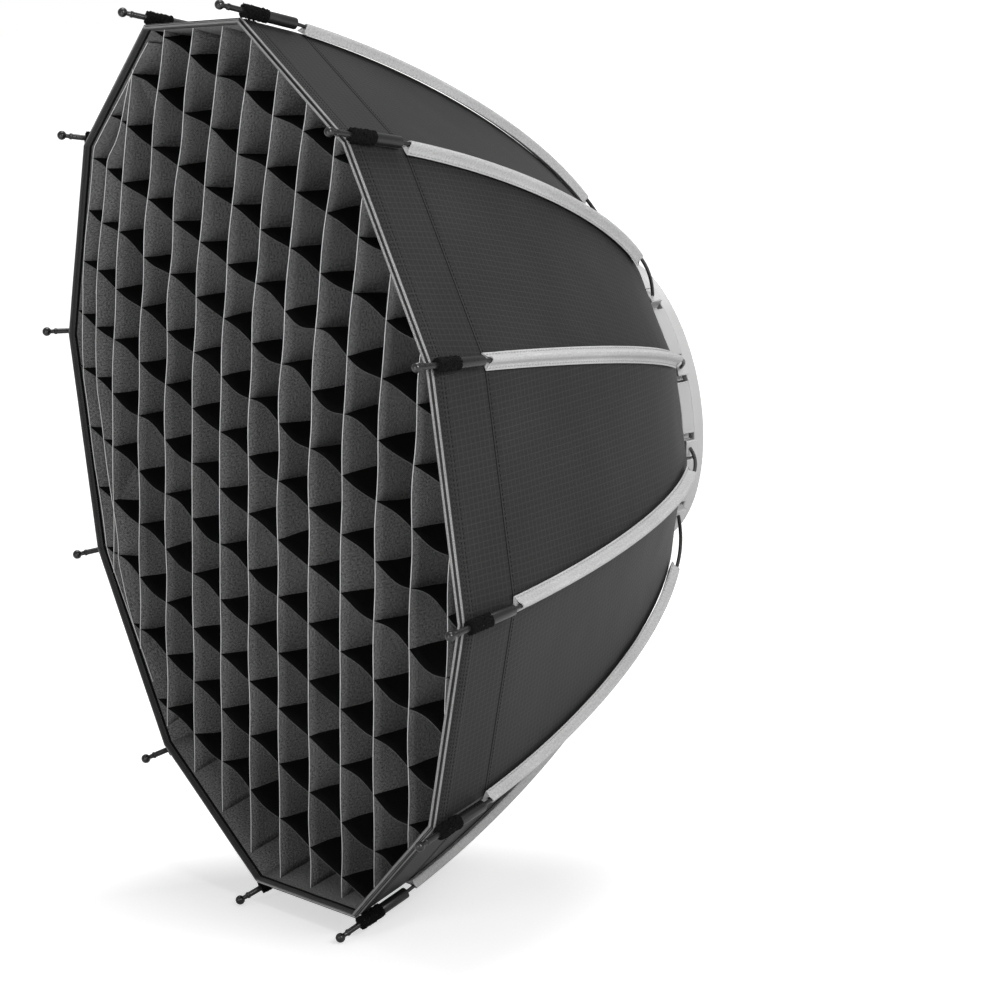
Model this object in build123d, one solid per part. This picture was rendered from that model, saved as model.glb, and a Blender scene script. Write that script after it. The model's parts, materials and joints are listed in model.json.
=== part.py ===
from build123d import *
import math
import os

# Twelve-rib folding softbox with a bayonet speed ring, an egg-crate grid and two diffusers.
# Millimetres.  The origin is the centre of the face that rests on the lamp.
# +Y points at the lamp, the box opens towards -Y, +Z is up.
# "forward" below is a distance in front of the knuckle plane, towards the mouth of the box.

# ---------------------------------------------------------------- driving dimensions
rib_count = 12
rim_radius = 322.0            # corner of the cover at the mouth
cover_depth = 291.0           # knuckle plane to the mouth

# bayonet ring
bayonet_bore_radius = 41.0
bayonet_collar_radius = 44.5
bayonet_lug_radius = 48.75
bayonet_lug_count = 3
bayonet_lug_angle = 40.0
bayonet_lug_thickness = 3.0
bayonet_collar_length = 9.0
bayonet_flange_radius = 66.0
bayonet_flange_thickness = 4.0

# hub
hub_radius = 108.0            # outside of the arc plates
rear_ring_step = 3.0          # rear ring stands this far inside the plates
rear_ring_thickness = 8.0
rear_ring_bore_radius = 50.0
hub_gap = 1.3                 # shadow gap between plates and rear ring
plate_length = 9.4            # along the axis
plate_half_angle = 9.8
plate_seat_radius = 92.0
core_bore_radius = 76.0
clamp_ring_thickness = 4.0
clamp_ring_bore_radius = 78.0
edge_round = 0.8

# screws
screw_radius = 2.0
screw_head_radius = 3.8
screw_head_height = 2.2
screw_clearance = 0.1
flange_screw_circle = 58.0
core_screw_circle = 82.2
screw_count = 6
screw_grip = 6.0              # length of screw in the piece behind

# knuckle
pivot_radius = 97.0
pin_radius = 1.5
pin_clearance = 0.05
knuckle_base_radius = 4.2
knuckle_half_width = 4.0
knuckle_end_half_width = 6.2
knuckle_flare_start = 7.5     # from the pivot
knuckle_end = 15.0            # from the pivot
knuckle_side_clearance = 0.4
ear_thickness = 3.5
ear_reach = 5.0               # past the pivot

# rib
rod_radius = 1.25
rod_clearance = 0.05
rib_start_reach = 12.0        # pivot to where the bowed part of the rod begins
rib_root_angle = 16.0         # lean of the rod where it leaves the knuckle
rib_tip_angle = 68.0          # lean of the rod at the mouth
rib_root_handle = 88.0
rib_tip_handle = 95.0
rod_root_length = 8.0         # rod inside the knuckle
rod_tip_length = 12.0         # rod inside the ferrule
straight_length = 46.0        # straight end of the rib, from ferrule to mouth plane
bow_steps = 7

# sleeve on the rib
sleeve_half_width = 5.9
sleeve_above = 2.4
sleeve_below = 4.9
sleeve_round = 1.6
sleeve_clearance = 0.35
bare_length = 53.0
sleeve_end_gap = 6.0

# ferrule, stem, ball and wrap at the end of the rib
ferrule_radius = 4.0
ferrule_length = 40.0
ferrule_chamfer = 0.8
stem_radius = 2.1
stem_socket = 8.0
ball_radius = 3.1
ball_reach = 59.0             # rear of the ferrule to the ball's centre
wrap_start = 21.0
wrap_length = 18.0
wrap_thickness = 0.9
wrap_clearance = 0.15

# cover, hem, grid, diffusers
cover_drop = 5.4              # rib axis to the outside of the cover
cover_thickness = 1.0
cover_rear_apothem = 85.0
soft_clearance = 0.3
hem_width = 14.0
hem_thickness = 2.4
grid_recess = 5.3             # mouth to the front edges of the strips
grid_border_recess = 1.0      # mouth to the front edge of the grid's border
grid_depth = 45.0
grid_wall = 0.8
grid_turn = 18.0              # grid strips lean by this much from upright
long_strip_pitch = 48.0
cross_strip_pitch = 43.5
long_strip_offset = -8.0
cross_strip_offset = 4.0
diffuser_thickness = 0.8
baffle_forward = 130.0
baffle_share = 0.8            # baffle corner radius over the cover's there
baffle_strap_width = 12.0

# ---------------------------------------------------------------- worked-out places
half_step = 180.0 / rib_count
polygon_share = math.cos(math.radians(half_step))
hub_stack = bayonet_flange_thickness + rear_ring_thickness + hub_gap
knuckle_y = -(hub_stack + plate_length / 2)
rear_ring_forward = -(plate_length / 2 + hub_gap)
hub_front = plate_length / 2 + 0.2
rib_angles = [half_step + 2 * half_step * n for n in range(rib_count)]
gore_angles = [2 * half_step * n for n in range(rib_count)]
big = 3 * (rim_radius + cover_depth)


def place(radius, forward):
    """A point in the plane of the rib at angle 0."""
    return Vector(radius, knuckle_y - forward, 0)


def turned(shape, angle):
    """The shape, made at angle 0, turned to its place round the axis."""
    return Rotation(0, -angle, 0) * shape


def save(node, *solids):
    """Write one node, as one solid or a group of separate solids."""
    shape = solids[0] if len(solids) == 1 else Compound(children=list(solids))
    export_step(shape, "parts/" + node + ".step")


def around(radius, inner_radius, rear, front):
    """A ring about the axis between two distances forward of the knuckle plane."""
    plane = Plane(origin=(0, knuckle_y - rear, 0), x_dir=(1, 0, 0), z_dir=(0, -1, 0))
    return extrude(plane * (Circle(radius) - Circle(inner_radius)), front - rear)


def wedge(half_angle):
    """A sector about the axis, centred on angle 0."""
    side = big * math.tan(math.radians(half_angle))
    plane = Plane(origin=(0, big, 0), x_dir=(1, 0, 0), z_dir=(0, -1, 0))
    return extrude(plane * make_face(Polyline((0, 0), (big, side), (big, -side), (0, 0))), 2 * big)


def bar(radius, length, start, direction):
    """A round bar from a start point."""
    return extrude(Plane(origin=start, z_dir=direction) * Circle(radius), length)


# ---------------------------------------------------------------- line of a rib
def lean(angle):
    """Direction in the rib plane, leaning forward from straight outwards."""
    return Vector(math.cos(math.radians(angle)), -math.sin(math.radians(angle)), 0)


rib_start_radius = pivot_radius + rib_start_reach
mouth_axis_radius = rim_radius + cover_drop / math.sin(math.radians(rib_tip_angle))
rib_start = place(rib_start_radius, 0)
bow_end = place(mouth_axis_radius, cover_depth) - lean(rib_tip_angle) * straight_length


def bow_point(share):
    """A point on the bowed rod: a cubic curve between its two leans."""
    first = rib_start + lean(rib_root_angle) * rib_root_handle
    second = bow_end - lean(rib_tip_angle) * rib_tip_handle
    rest = 1 - share
    return (rib_start * rest**3 + first * (3 * rest**2 * share)
            + second * (3 * rest * share**2) + bow_end * share**3)


def share_at(distance):
    """Share of the curve reached after a distance along it."""
    steps = 2000
    walked = 0.0
    for n in range(steps):
        walked += (bow_point((n + 1) / steps) - bow_point(n / steps)).length
        if walked >= distance:
            return (n + 1) / steps
    return 1.0


def bow_length():
    steps = 2000
    return sum((bow_point((n + 1) / steps) - bow_point(n / steps)).length for n in range(steps))


sleeve_from = share_at(bare_length)
sleeve_to = share_at(bow_length() - sleeve_end_gap)
knots = [0.0, sleeve_from]
knots += [sleeve_from + (sleeve_to - sleeve_from) * n / bow_steps for n in range(1, bow_steps + 1)]
knots += [1.0]


def arc_chain(points, direction):
    """Tangent arcs through the points, leaving the first in a given direction."""
    arcs = []
    for first, second in zip(points, points[1:]):
        arc = TangentArc(first, second, tangent=direction)
        arcs.append(arc)
        direction = arc % 1
    return arcs


bow_arcs = arc_chain([bow_point(share) for share in knots], lean(rib_root_angle))
tip_direction = bow_arcs[-1] % 1
tip_angle = math.degrees(math.atan2(-tip_direction.Y, tip_direction.X))


def inward(direction):
    """Square to a direction in the rib plane, towards the inside of the box."""
    return Vector(direction.Y, -direction.X, 0)


def section(along):
    """Plane square to a curve of the rib at its start, x across the rib, y away from the box."""
    direction = along % 0
    return Plane(origin=along @ 0, x_dir=(0, 0, -1), z_dir=direction)


# ---------------------------------------------------------------- hub
def bayonet_ring():
    flange = around(bayonet_flange_radius, bayonet_bore_radius, knuckle_y, knuckle_y + bayonet_flange_thickness)
    flange = chamfer(flange.edges().filter_by(GeomType.CIRCLE).group_by(SortBy.RADIUS)[-1], edge_round)
    collar = around(bayonet_collar_radius, bayonet_bore_radius, knuckle_y - bayonet_collar_length, knuckle_y)
    lug_rear = knuckle_y - bayonet_collar_length
    lug_ring = around(bayonet_lug_radius, bayonet_bore_radius, lug_rear, lug_rear + bayonet_lug_thickness)
    lug = lug_ring & wedge(bayonet_lug_angle / 2)
    ring = flange + collar
    for n in range(bayonet_lug_count):
        ring += turned(lug, 90 + 360 / bayonet_lug_count * n)
    return ring - flange_screws(screw_radius + screw_clearance, screw_head_radius + screw_clearance)


def countersunk(circle, face_y, length, radius, head_radius):
    """Countersunk screws on a circle, heads flush with a face that looks backwards."""
    found = []
    for n in range(screw_count):
        shank = bar(radius, length, (circle, face_y, 0), (0, -1, 0))
        head_plane = Plane(origin=(circle, face_y, 0), z_dir=(0, -1, 0))
        head = loft([head_plane * Circle(head_radius), head_plane.offset(screw_head_height) * Circle(radius)])
        found.append(turned(shank + head, 360 / screw_count * n))
    return found


def flange_screws(radius, head_radius):
    length = bayonet_flange_thickness + screw_grip
    return countersunk(flange_screw_circle, 0, length, radius, head_radius)


def core_screws(radius, head_radius):
    length = rear_ring_thickness + screw_grip
    return countersunk(core_screw_circle, -bayonet_flange_thickness, length, radius, head_radius)


def clamp_screws(radius, head_radius, gap):
    """Pan-head screws that hold the clamp ring from inside the box, between the core screws."""
    found = []
    front = clamp_front
    shank_length = front - (hub_front - screw_grip / 2)
    for n in range(screw_count):
        shank = bar(radius, shank_length + gap, (core_screw_circle, knuckle_y - front, 0), (0, 1, 0))
        head = bar(head_radius, screw_head_height, (core_screw_circle, knuckle_y - front, 0), (0, -1, 0))
        head = fillet(head.edges().sort_by(Axis.Y)[0], edge_round)
        found.append(turned(shank + head, 360 / screw_count * (n + 0.5)))
    return found


cover_flat = cover_drop * math.cos(math.radians(rib_root_angle))
cover_flat_inner = (cover_drop + cover_thickness) * math.cos(math.radians(rib_root_angle))
clamp_rear = cover_flat_inner + soft_clearance
clamp_front = clamp_rear + clamp_ring_thickness


def rear_ring():
    ring = around(hub_radius - rear_ring_step, rear_ring_bore_radius,
                  rear_ring_forward - rear_ring_thickness, rear_ring_forward)
    outer = ring.edges().filter_by(GeomType.CIRCLE).group_by(SortBy.RADIUS)[-1]
    ring = fillet(outer, edge_round)
    ring -= flange_screws(screw_radius + screw_clearance, screw_head_radius)
    ring -= core_screws(screw_radius + screw_clearance, screw_head_radius + screw_clearance)
    return ring


def hub_core():
    """The ring that carries the plates in front of the rear ring, with two ears at each knuckle."""
    core = around(plate_seat_radius, core_bore_radius, rear_ring_forward, hub_front)
    ear_inner = knuckle_half_width + knuckle_side_clearance
    ear_radius = pivot_radius + ear_reach
    ear_length = ear_radius - plate_seat_radius + 2
    for angle in rib_angles:
        for side in (-1, 1):
            middle = place(ear_radius - ear_length / 2, 0) + Vector(0, 0, side * (ear_inner + ear_thickness / 2))
            ear = Pos(middle) * Box(ear_length, plate_length, ear_thickness)
            ear = fillet(ear.edges().filter_by(Axis.Z).group_by(Axis.X)[-1], ear_reach / 2)
            core += turned(ear, angle)
    holes = [knuckle_pin(angle, pin_clearance / 2) for angle in rib_angles]
    core -= holes
    core -= core_screws(screw_radius + screw_clearance, screw_head_radius)
    core -= clamp_screws(screw_radius + screw_clearance, screw_head_radius, 0.2)
    return core


def knuckle_pin(angle, gap=0.0):
    half = knuckle_half_width + knuckle_side_clearance + ear_thickness
    start = place(pivot_radius, 0) - Vector(0, 0, half)
    return turned(bar(pin_radius + gap, 2 * half, start, (0, 0, 1)), angle)


def hub_plate(angle):
    """One arc plate between two knuckles."""
    ring = around(hub_radius, plate_seat_radius, -plate_length / 2, plate_length / 2)
    plate = ring & wedge(plate_half_angle)
    plate = fillet(plate.edges(), edge_round)
    return turned(plate, angle)


def clamp_ring():
    """Holds the rear edge of the cover against the core, from inside the box."""
    ring = around(plate_seat_radius, clamp_ring_bore_radius, clamp_rear, clamp_front)
    outer = ring.edges().filter_by(GeomType.CIRCLE).group_by(SortBy.RADIUS)[-1].sort_by(Axis.Y)[0]
    ring = fillet(outer, edge_round)
    return ring - clamp_screws(screw_radius + screw_clearance, screw_head_radius, 0.2)


# ---------------------------------------------------------------- ribs
def knuckle():
    """Lever that the rod plugs into: round about its pin, wider at the outer end."""
    pivot = place(pivot_radius, 0)
    side_plane = Plane.XY
    height = 2 * knuckle_base_radius
    base = side_plane * (Pos(pivot.X, pivot.Y) * Circle(knuckle_base_radius))
    blade = side_plane * (Pos(pivot.X + knuckle_end / 2, pivot.Y) * Rectangle(knuckle_end, height))
    side = extrude(base + blade, knuckle_end_half_width, both=True)
    flare = pivot.X + knuckle_flare_start
    end = pivot.X + knuckle_end
    start = pivot.X - knuckle_base_radius
    outline = [(start, -knuckle_half_width), (flare, -knuckle_half_width), (end, -knuckle_end_half_width),
               (end, knuckle_end_half_width), (flare, knuckle_half_width), (start, knuckle_half_width),
               (start, -knuckle_half_width)]
    plan_plane = Plane(origin=(0, knuckle_y + height, 0), x_dir=(1, 0, 0), z_dir=(0, -1, 0))
    plan = extrude(plan_plane * make_face(Polyline(*outline)), 2 * height)
    lever = side & plan
    lever = fillet(lever.edges().group_by(Axis.X)[-1], edge_round)
    root = rib_start - lean(rib_root_angle) * rod_root_length
    lever -= bar(pin_radius + pin_clearance, 4 * knuckle_end, pivot - Vector(0, 0, 2 * knuckle_end), (0, 0, 1))
    lever -= bar(rod_radius + rod_clearance, 2 * rod_root_length, root, lean(rib_root_angle))
    return lever


def rod():
    """Bowed steel rod from inside the knuckle to inside the ferrule."""
    root = Line(rib_start - lean(rib_root_angle) * (rod_root_length - 0.1), rib_start)
    tip = Line(bow_end, bow_end + tip_direction * rod_tip_length)
    path = Wire([root] + bow_arcs + [tip])
    return sweep(Plane(origin=root @ 0, x_dir=(0, 0, -1), z_dir=root % 0) * Circle(rod_radius), path=path)


def sleeve():
    """Fabric channel that holds the rod on the cover."""
    arcs = bow_arcs[1:-1]
    height = sleeve_above + sleeve_below
    outline = Pos(0, (sleeve_above - sleeve_below) / 2) * RectangleRounded(2 * sleeve_half_width, height, sleeve_round)
    outline -= Circle(rod_radius + sleeve_clearance)
    return sweep(section(arcs[0]) * outline, path=Wire(arcs))


def ferrule():
    body = bar(ferrule_radius, ferrule_length, bow_end, tip_direction)
    body = chamfer(body.edges().filter_by(GeomType.CIRCLE), ferrule_chamfer)
    body -= bar(rod_radius + rod_clearance, rod_tip_length + 1, bow_end, tip_direction)
    stem_start = bow_end + tip_direction * (ferrule_length - stem_socket)
    return body - bar(stem_radius, stem_socket, stem_start, tip_direction)


def stem_and_ball():
    start = bow_end + tip_direction * (ferrule_length - stem_socket)
    stem = bar(stem_radius, ball_reach - ferrule_length + stem_socket, start, tip_direction)
    return stem + Pos(bow_end + tip_direction * ball_reach) * Sphere(ball_radius)


def wrap():
    """Hook-and-loop tie of the hem, round the ferrule."""
    start = bow_end + tip_direction * wrap_start
    inner = ferrule_radius + wrap_clearance
    band = bar(inner + wrap_thickness, wrap_length, start, tip_direction)
    return band - bar(inner, wrap_length, start, tip_direction)


# ---------------------------------------------------------------- cover and what hangs in it
def cover_edge(inset):
    """Line of the cover in the middle plane of a gore, at a depth under the rib axis."""
    flat_forward = inset * math.cos(math.radians(rib_root_angle))
    points = []
    for arc in bow_arcs:
        points.append((arc @ 0) + inward(arc % 0) * inset)
    points.append(bow_end + inward(tip_direction) * inset)
    points = [Vector(p.X * polygon_share, p.Y, 0) for p in points]
    start = bow_arcs[0] % 0
    arcs = arc_chain(points, Vector(start.X * polygon_share, start.Y, 0).normalized())
    flat = Line(place(cover_rear_apothem, flat_forward), points[0])
    end = cover_point(cover_depth - hem_width, inset)
    return [flat] + arcs + [Line(points[-1], end)]


def cover_point(forward, inset):
    """Point of the straight front part of the cover, in the middle plane of a gore."""
    beyond = forward - (knuckle_y - bow_end.Y)
    radius = bow_end.X + beyond / math.tan(math.radians(tip_angle)) - inset / math.sin(math.radians(tip_angle))
    return place(radius * polygon_share, forward)


def panels(outline):
    """Twelve panels with one outline in their middle planes, mitred where they meet."""
    panel = extrude(make_face(outline), big / 4, both=True) & wedge(half_step)
    return [turned(panel, angle) for angle in gore_angles]


def cover():
    outer = cover_edge(cover_drop)
    inner = cover_edge(cover_drop + cover_thickness)
    rear = Line(outer[0] @ 0, inner[0] @ 0)
    front = Line(outer[-1] @ 1, inner[-1] @ 1)
    return panels(outer + inner + [rear, front])


def hem():
    """Doubled binding at the mouth, which the border of the grid is fixed inside."""
    inner = cover_drop + hem_thickness
    rear = cover_depth - hem_width
    points = [cover_point(rear, cover_drop), cover_point(cover_depth, cover_drop),
              cover_point(cover_depth, inner), cover_point(rear, inner)]
    return panels(Polyline(*points, points[0]))


def twelve_sided(apothem, forward):
    plane = Plane(origin=(0, knuckle_y - forward, 0), x_dir=(1, 0, 0), z_dir=(0, -1, 0))
    return plane * (Rot(Z=half_step) * RegularPolygon(apothem / polygon_share, rib_count))


def tapered(rear, front, inset):
    """Twelve-sided block that follows the inside of the cover."""
    return loft([twelve_sided(cover_point(rear, inset).X, rear), twelve_sided(cover_point(front, inset).X, front)])


grid_front = cover_depth - grid_recess
grid_rear = grid_front - grid_depth
border_front = cover_depth - grid_border_recess
grid_inset = cover_drop + hem_thickness + soft_clearance


def grid():
    """Egg-crate of fabric strips in a border that follows the cover."""
    outside = tapered(grid_rear, border_front, grid_inset)
    inside = tapered(grid_rear, border_front, grid_inset + grid_wall)
    middle_y = knuckle_y - (grid_front + grid_rear) / 2
    length = 2 * rim_radius
    strips = []
    for pitch, offset, angle in ((long_strip_pitch, long_strip_offset, -grid_turn),
                                 (cross_strip_pitch, cross_strip_offset, 90 - grid_turn)):
        count = int(rim_radius / pitch) + 1
        for n in range(-count, count + 1):
            strip = Pos(offset + n * pitch, middle_y, 0) * Box(grid_wall, grid_depth, length)
            strips.append(turned(strip, angle))
    crate = strips[0].fuse(*strips[1:]) & inside
    return (outside - inside) + crate


def front_diffuser():
    rear = grid_rear - soft_clearance - diffuser_thickness
    corner = cover_corner(rear, cover_drop + cover_thickness + soft_clearance)
    return extrude(twelve_sided(corner * polygon_share, rear), diffuser_thickness)


def cover_corner(forward, inset):
    """Corner radius of the bowed part of the cover at a distance forward."""
    steps = 2000
    corner = rib_start.X
    for n in range(steps):
        here = bow_point(n / steps)
        along = (bow_point((n + 1) / steps) - here).normalized()
        ridge = here + inward(along) * inset
        if knuckle_y - ridge.Y <= forward:
            corner = ridge.X
    return corner


def baffle():
    """Smaller diffuser half way down, with a strap from each corner to the cover under a rib."""
    corner = cover_corner(baffle_forward, cover_drop + cover_thickness + soft_clearance)
    reach = corner - baffle_strap_width / 2 * math.tan(math.radians(half_step))
    plate = extrude(twelve_sided(corner * baffle_share * polygon_share, baffle_forward), diffuser_thickness)
    inner_end = corner * baffle_share - baffle_strap_width
    strap = Pos(place((inner_end + reach) / 2, baffle_forward + diffuser_thickness / 2)) * Box(
        reach - inner_end, diffuser_thickness, baffle_strap_width)
    for angle in rib_angles:
        plate += turned(strap, angle)
    return plate


# ---------------------------------------------------------------- write the nodes
os.makedirs("parts", exist_ok=True)
save("bayonet_ring", bayonet_ring())
save("hub_rear_ring", rear_ring())
save("hub_core", hub_core())
save("hub_plates", *[hub_plate(angle) for angle in gore_angles])
save("cover_clamp_ring", clamp_ring())
save("knuckle_pins", *[knuckle_pin(angle) for angle in rib_angles])
save("hub_screws", *flange_screws(screw_radius, screw_head_radius), *core_screws(screw_radius, screw_head_radius),
     *clamp_screws(screw_radius, screw_head_radius, 0.0))
save("cover", *cover())
save("rim_hem", *hem())
save("grid", grid())
save("front_diffuser", front_diffuser())
save("inner_baffle", baffle())

one_knuckle = knuckle()
one_rod = rod()
one_sleeve = sleeve()
one_tip = [ferrule(), stem_and_ball(), wrap()]
for n, angle in enumerate(rib_angles):
    name = f"rib_{n + 1:02d}_"
    save(name + "knuckle", turned(one_knuckle, angle))
    save(name + "rod", turned(one_rod, angle))
    save(name + "sleeve", turned(one_sleeve, angle))
    save(name + "tip", *[turned(piece, angle) for piece in one_tip])
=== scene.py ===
import bmesh
import bpy
import json
from bisect import bisect_right
from math import asin, atan2, copysign, cos, exp, floor, hypot, pi, radians, sin, tan
from mathutils import Matrix, Vector, noise

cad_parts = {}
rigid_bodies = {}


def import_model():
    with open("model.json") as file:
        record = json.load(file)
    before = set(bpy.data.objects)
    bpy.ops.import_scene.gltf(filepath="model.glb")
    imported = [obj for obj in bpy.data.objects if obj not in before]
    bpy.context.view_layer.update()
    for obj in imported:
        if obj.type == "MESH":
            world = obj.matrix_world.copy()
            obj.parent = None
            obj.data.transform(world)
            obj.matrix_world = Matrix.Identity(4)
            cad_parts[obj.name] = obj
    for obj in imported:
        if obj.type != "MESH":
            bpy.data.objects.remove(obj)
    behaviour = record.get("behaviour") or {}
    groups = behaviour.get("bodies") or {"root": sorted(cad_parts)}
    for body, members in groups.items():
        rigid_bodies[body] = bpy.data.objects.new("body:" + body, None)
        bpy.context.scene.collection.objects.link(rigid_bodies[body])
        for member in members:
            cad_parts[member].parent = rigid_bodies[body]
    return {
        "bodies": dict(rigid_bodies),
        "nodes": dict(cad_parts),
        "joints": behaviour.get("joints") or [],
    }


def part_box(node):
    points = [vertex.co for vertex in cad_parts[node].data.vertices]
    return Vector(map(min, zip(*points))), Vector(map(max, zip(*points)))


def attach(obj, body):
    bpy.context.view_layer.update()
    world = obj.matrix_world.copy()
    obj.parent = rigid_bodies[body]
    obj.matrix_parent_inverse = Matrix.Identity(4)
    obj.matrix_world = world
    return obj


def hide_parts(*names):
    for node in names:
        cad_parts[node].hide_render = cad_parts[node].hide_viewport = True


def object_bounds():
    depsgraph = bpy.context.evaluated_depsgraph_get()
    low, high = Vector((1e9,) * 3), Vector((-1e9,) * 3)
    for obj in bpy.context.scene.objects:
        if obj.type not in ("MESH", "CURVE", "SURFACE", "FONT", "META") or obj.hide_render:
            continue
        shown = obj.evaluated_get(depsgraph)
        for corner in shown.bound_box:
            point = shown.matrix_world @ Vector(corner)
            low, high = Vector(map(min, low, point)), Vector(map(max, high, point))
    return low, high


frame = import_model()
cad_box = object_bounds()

# Looks of a twelve-rib folding softbox, in metres.  The box opens towards -Y and the lamp is at +Y.
# "forward" is the distance in front of the knuckle plane, "inset" the depth under the line of a rib.
MM = 0.001

# ---------------- sizes
hinges = [j for j in frame["joints"] if j["name"].startswith("rib_")]
rib_count = len(hinges)
knuckle_y = hinges[0]["pos_m"][1]
half_step = pi / rib_count
hem_low, hem_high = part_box("rim_hem")
mouth_forward = knuckle_y - hem_low.y
cover_corner = hem_high.x / cos(half_step)
rib_angles = [atan2(j["pos_m"][2], j["pos_m"][0]) for j in hinges]

# line of a rib, as in the CAD source
cover_drop = 5.4 * MM
root_lean = radians(16)
bow_lean = radians(68)
tip_lean = radians(70.1)
rib_start = Vector((109 * MM, 0))
root_handle = 88 * MM
tip_handle = 95 * MM
straight_length = 46 * MM
ball_reach = 59 * MM

cloth_thickness = 0.7 * MM
hem_width = 14 * MM
seam_forward = 243 * MM

grid_turn = radians(18)
long_pitch, long_offset = 48 * MM, -8 * MM
cross_pitch, cross_offset = 43.5 * MM, 4 * MM
grid_rear = knuckle_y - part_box("grid")[1].y
grid_front = mouth_forward - 5.3 * MM
grid_inset = 8.1 * MM
grid_crown, crown_power = 9 * MM, 2.2     # the front edges fall back by up to this much at the border
crown_top_loss = 0.7                      # and by this share less at the top
grid_fan = 6 * MM                         # strips on the +X side stand this far askew, front to rear
grid_bend, bend_power = 46 * MM, 1.85     # the long strips bend aside by this much towards the top
strip_thickness = 0.5 * MM
end_gap = 3 * MM                          # an outermost strip ends this far from the border
diffuser_forward = knuckle_y - sum(c.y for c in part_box("front_diffuser")) / 2
baffle_forward = knuckle_y - sum(c.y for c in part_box("inner_baffle")) / 2
baffle_share = 0.8


def lean(angle):
    return Vector((cos(angle), sin(angle)))


def inward(direction):
    return Vector((-direction.y, direction.x))


mouth_axis = Vector((cover_corner + cover_drop / sin(tip_lean), mouth_forward))
bow_end = mouth_axis - lean(tip_lean) * straight_length


def bow_point(share):
    """A point of the bowed rod as (radius, forward)."""
    first = rib_start + lean(root_lean) * root_handle
    second = bow_end - lean(bow_lean) * tip_handle
    rest = 1 - share
    return (rib_start * rest**3 + first * (3 * rest**2 * share)
            + second * (3 * rest * share**2) + bow_end * share**3)


def make_rib_line():
    """Points along a rib from the knuckle to the ball: (distance, point, direction)."""
    steps = 400
    points = [bow_point(n / steps) for n in range(steps + 1)]
    count = 60
    points += [bow_end + lean(tip_lean) * (ball_reach * n / count) for n in range(1, count + 1)]
    line = []
    walked = 0.0
    for n, here in enumerate(points):
        if n:
            walked += (here - points[n - 1]).length
        after = points[min(n + 1, len(points) - 1)]
        before = points[max(n - 1, 0)]
        line.append((walked, here, (after - before).normalized()))
    return line


rib_line = make_rib_line()
rib_distances = [row[0] for row in rib_line]


def on_rib(distance, inset=0.0):
    """(point, direction) at a distance along a rib and a depth under it."""
    n = min(max(bisect_right(rib_distances, distance), 1), len(rib_line) - 1)
    (d0, p0, t0), (d1, p1, t1) = rib_line[n - 1:n + 1]
    share = (distance - d0) / (d1 - d0)
    direction = t0.lerp(t1, share).normalized()
    return p0.lerp(p1, share) + inward(direction) * inset, direction


bow_length = next(row[0] for row in rib_line if row[1].y >= bow_end.y - 1e-9)


def distance_at(forward, inset):
    """Distance along a rib where the line at this inset is this far forward."""
    low, high = 0.0, bow_length + ball_reach - 1e-6
    for _ in range(50):
        middle = (low + high) / 2
        if on_rib(middle, inset)[0].y < forward:
            low = middle
        else:
            high = middle
    return low


def corner_radius(forward, inset):
    return on_rib(distance_at(forward, inset), inset)[0].x


def in_frame(radius, forward, angle, aside=0.0):
    """Row-frame point from rib-plane coordinates, aside along the tangent."""
    return Vector((radius * cos(angle) - aside * sin(angle), knuckle_y - forward,
                   radius * sin(angle) + aside * cos(angle)))


def across(radius, forward, turn, out=0.0):
    """Point of a twelve-sided ring: turn counts ribs, and its fraction runs straight to the next rib."""
    n = floor(turn)
    share = turn - n
    a, b = rib_angles[n % rib_count], rib_angles[(n + 1) % rib_count]
    flat = Vector((cos(a), sin(a))) * (1 - share) + Vector((cos(b), sin(b))) * share
    middle = Vector((cos(a) + cos(b), sin(a) + sin(b))).normalized()
    flat = flat * radius + middle * out
    return Vector((flat.x, knuckle_y - forward, flat.y))


# ---------------- mesh helpers
def show(made):
    bpy.context.scene.collection.objects.link(made)


def new_piece(name, points, faces, uvs=None, materials=(), smooth=True):
    """A mesh object.  uvs holds one (u, v) in metres for each corner of each face, in order."""
    mesh = bpy.data.meshes.new(name)
    mesh.from_pydata([tuple(p) for p in points], [], faces)
    if uvs:
        layer = mesh.uv_layers.new(name="cloth")
        for loop, uv in zip(layer.data, uvs):
            loop.uv = uv
    for m in materials:
        mesh.materials.append(m)
    mesh.polygons.foreach_set("use_smooth", [smooth] * len(mesh.polygons))
    mesh.update()
    piece = bpy.data.objects.new(name, mesh)
    show(piece)
    return piece


def lattice(rows, closed=False):
    """(points, faces, uvs) of rows of (point, uv).  closed joins each row's end to its start,
    with the last column's uv given once more at the end of the row."""
    points, index = [], []
    for row in rows:
        use = row[:-1] if closed else row
        start = len(points)
        points += [p for p, uv in use]
        index.append([start + c % len(use) for c in range(len(row))])
    faces, uvs = [], []
    for r in range(len(rows) - 1):
        for c in range(len(rows[r]) - 1):
            corners = [(r, c), (r, c + 1), (r + 1, c + 1), (r + 1, c)]
            faces.append([index[i][j] for i, j in corners])
            uvs += [rows[i][j][1] for i, j in corners]
    return points, faces, uvs


def joined(parts):
    """Several (points, faces, uvs) as one."""
    points, faces, uvs = [], [], []
    for p, f, u in parts:
        start = len(points)
        points += p
        faces += [[start + i for i in face] for face in f]
        uvs += u
    return points, faces, uvs


def solidify(piece, thickness, offset, inner):
    """Gives a sheet its thickness; inner is the material of its other side."""
    modifier = piece.modifiers.new("thickness", "SOLIDIFY")
    modifier.thickness = thickness
    modifier.offset = offset
    modifier.use_even_offset = False
    modifier.material_offset = inner
    modifier.material_offset_rim = 0
    return modifier


def axes_along(direction):
    """Two directions square to this one, and the direction itself."""
    z = direction.normalized()
    x = z.orthogonal().normalized()
    return x, z.cross(x), z


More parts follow.
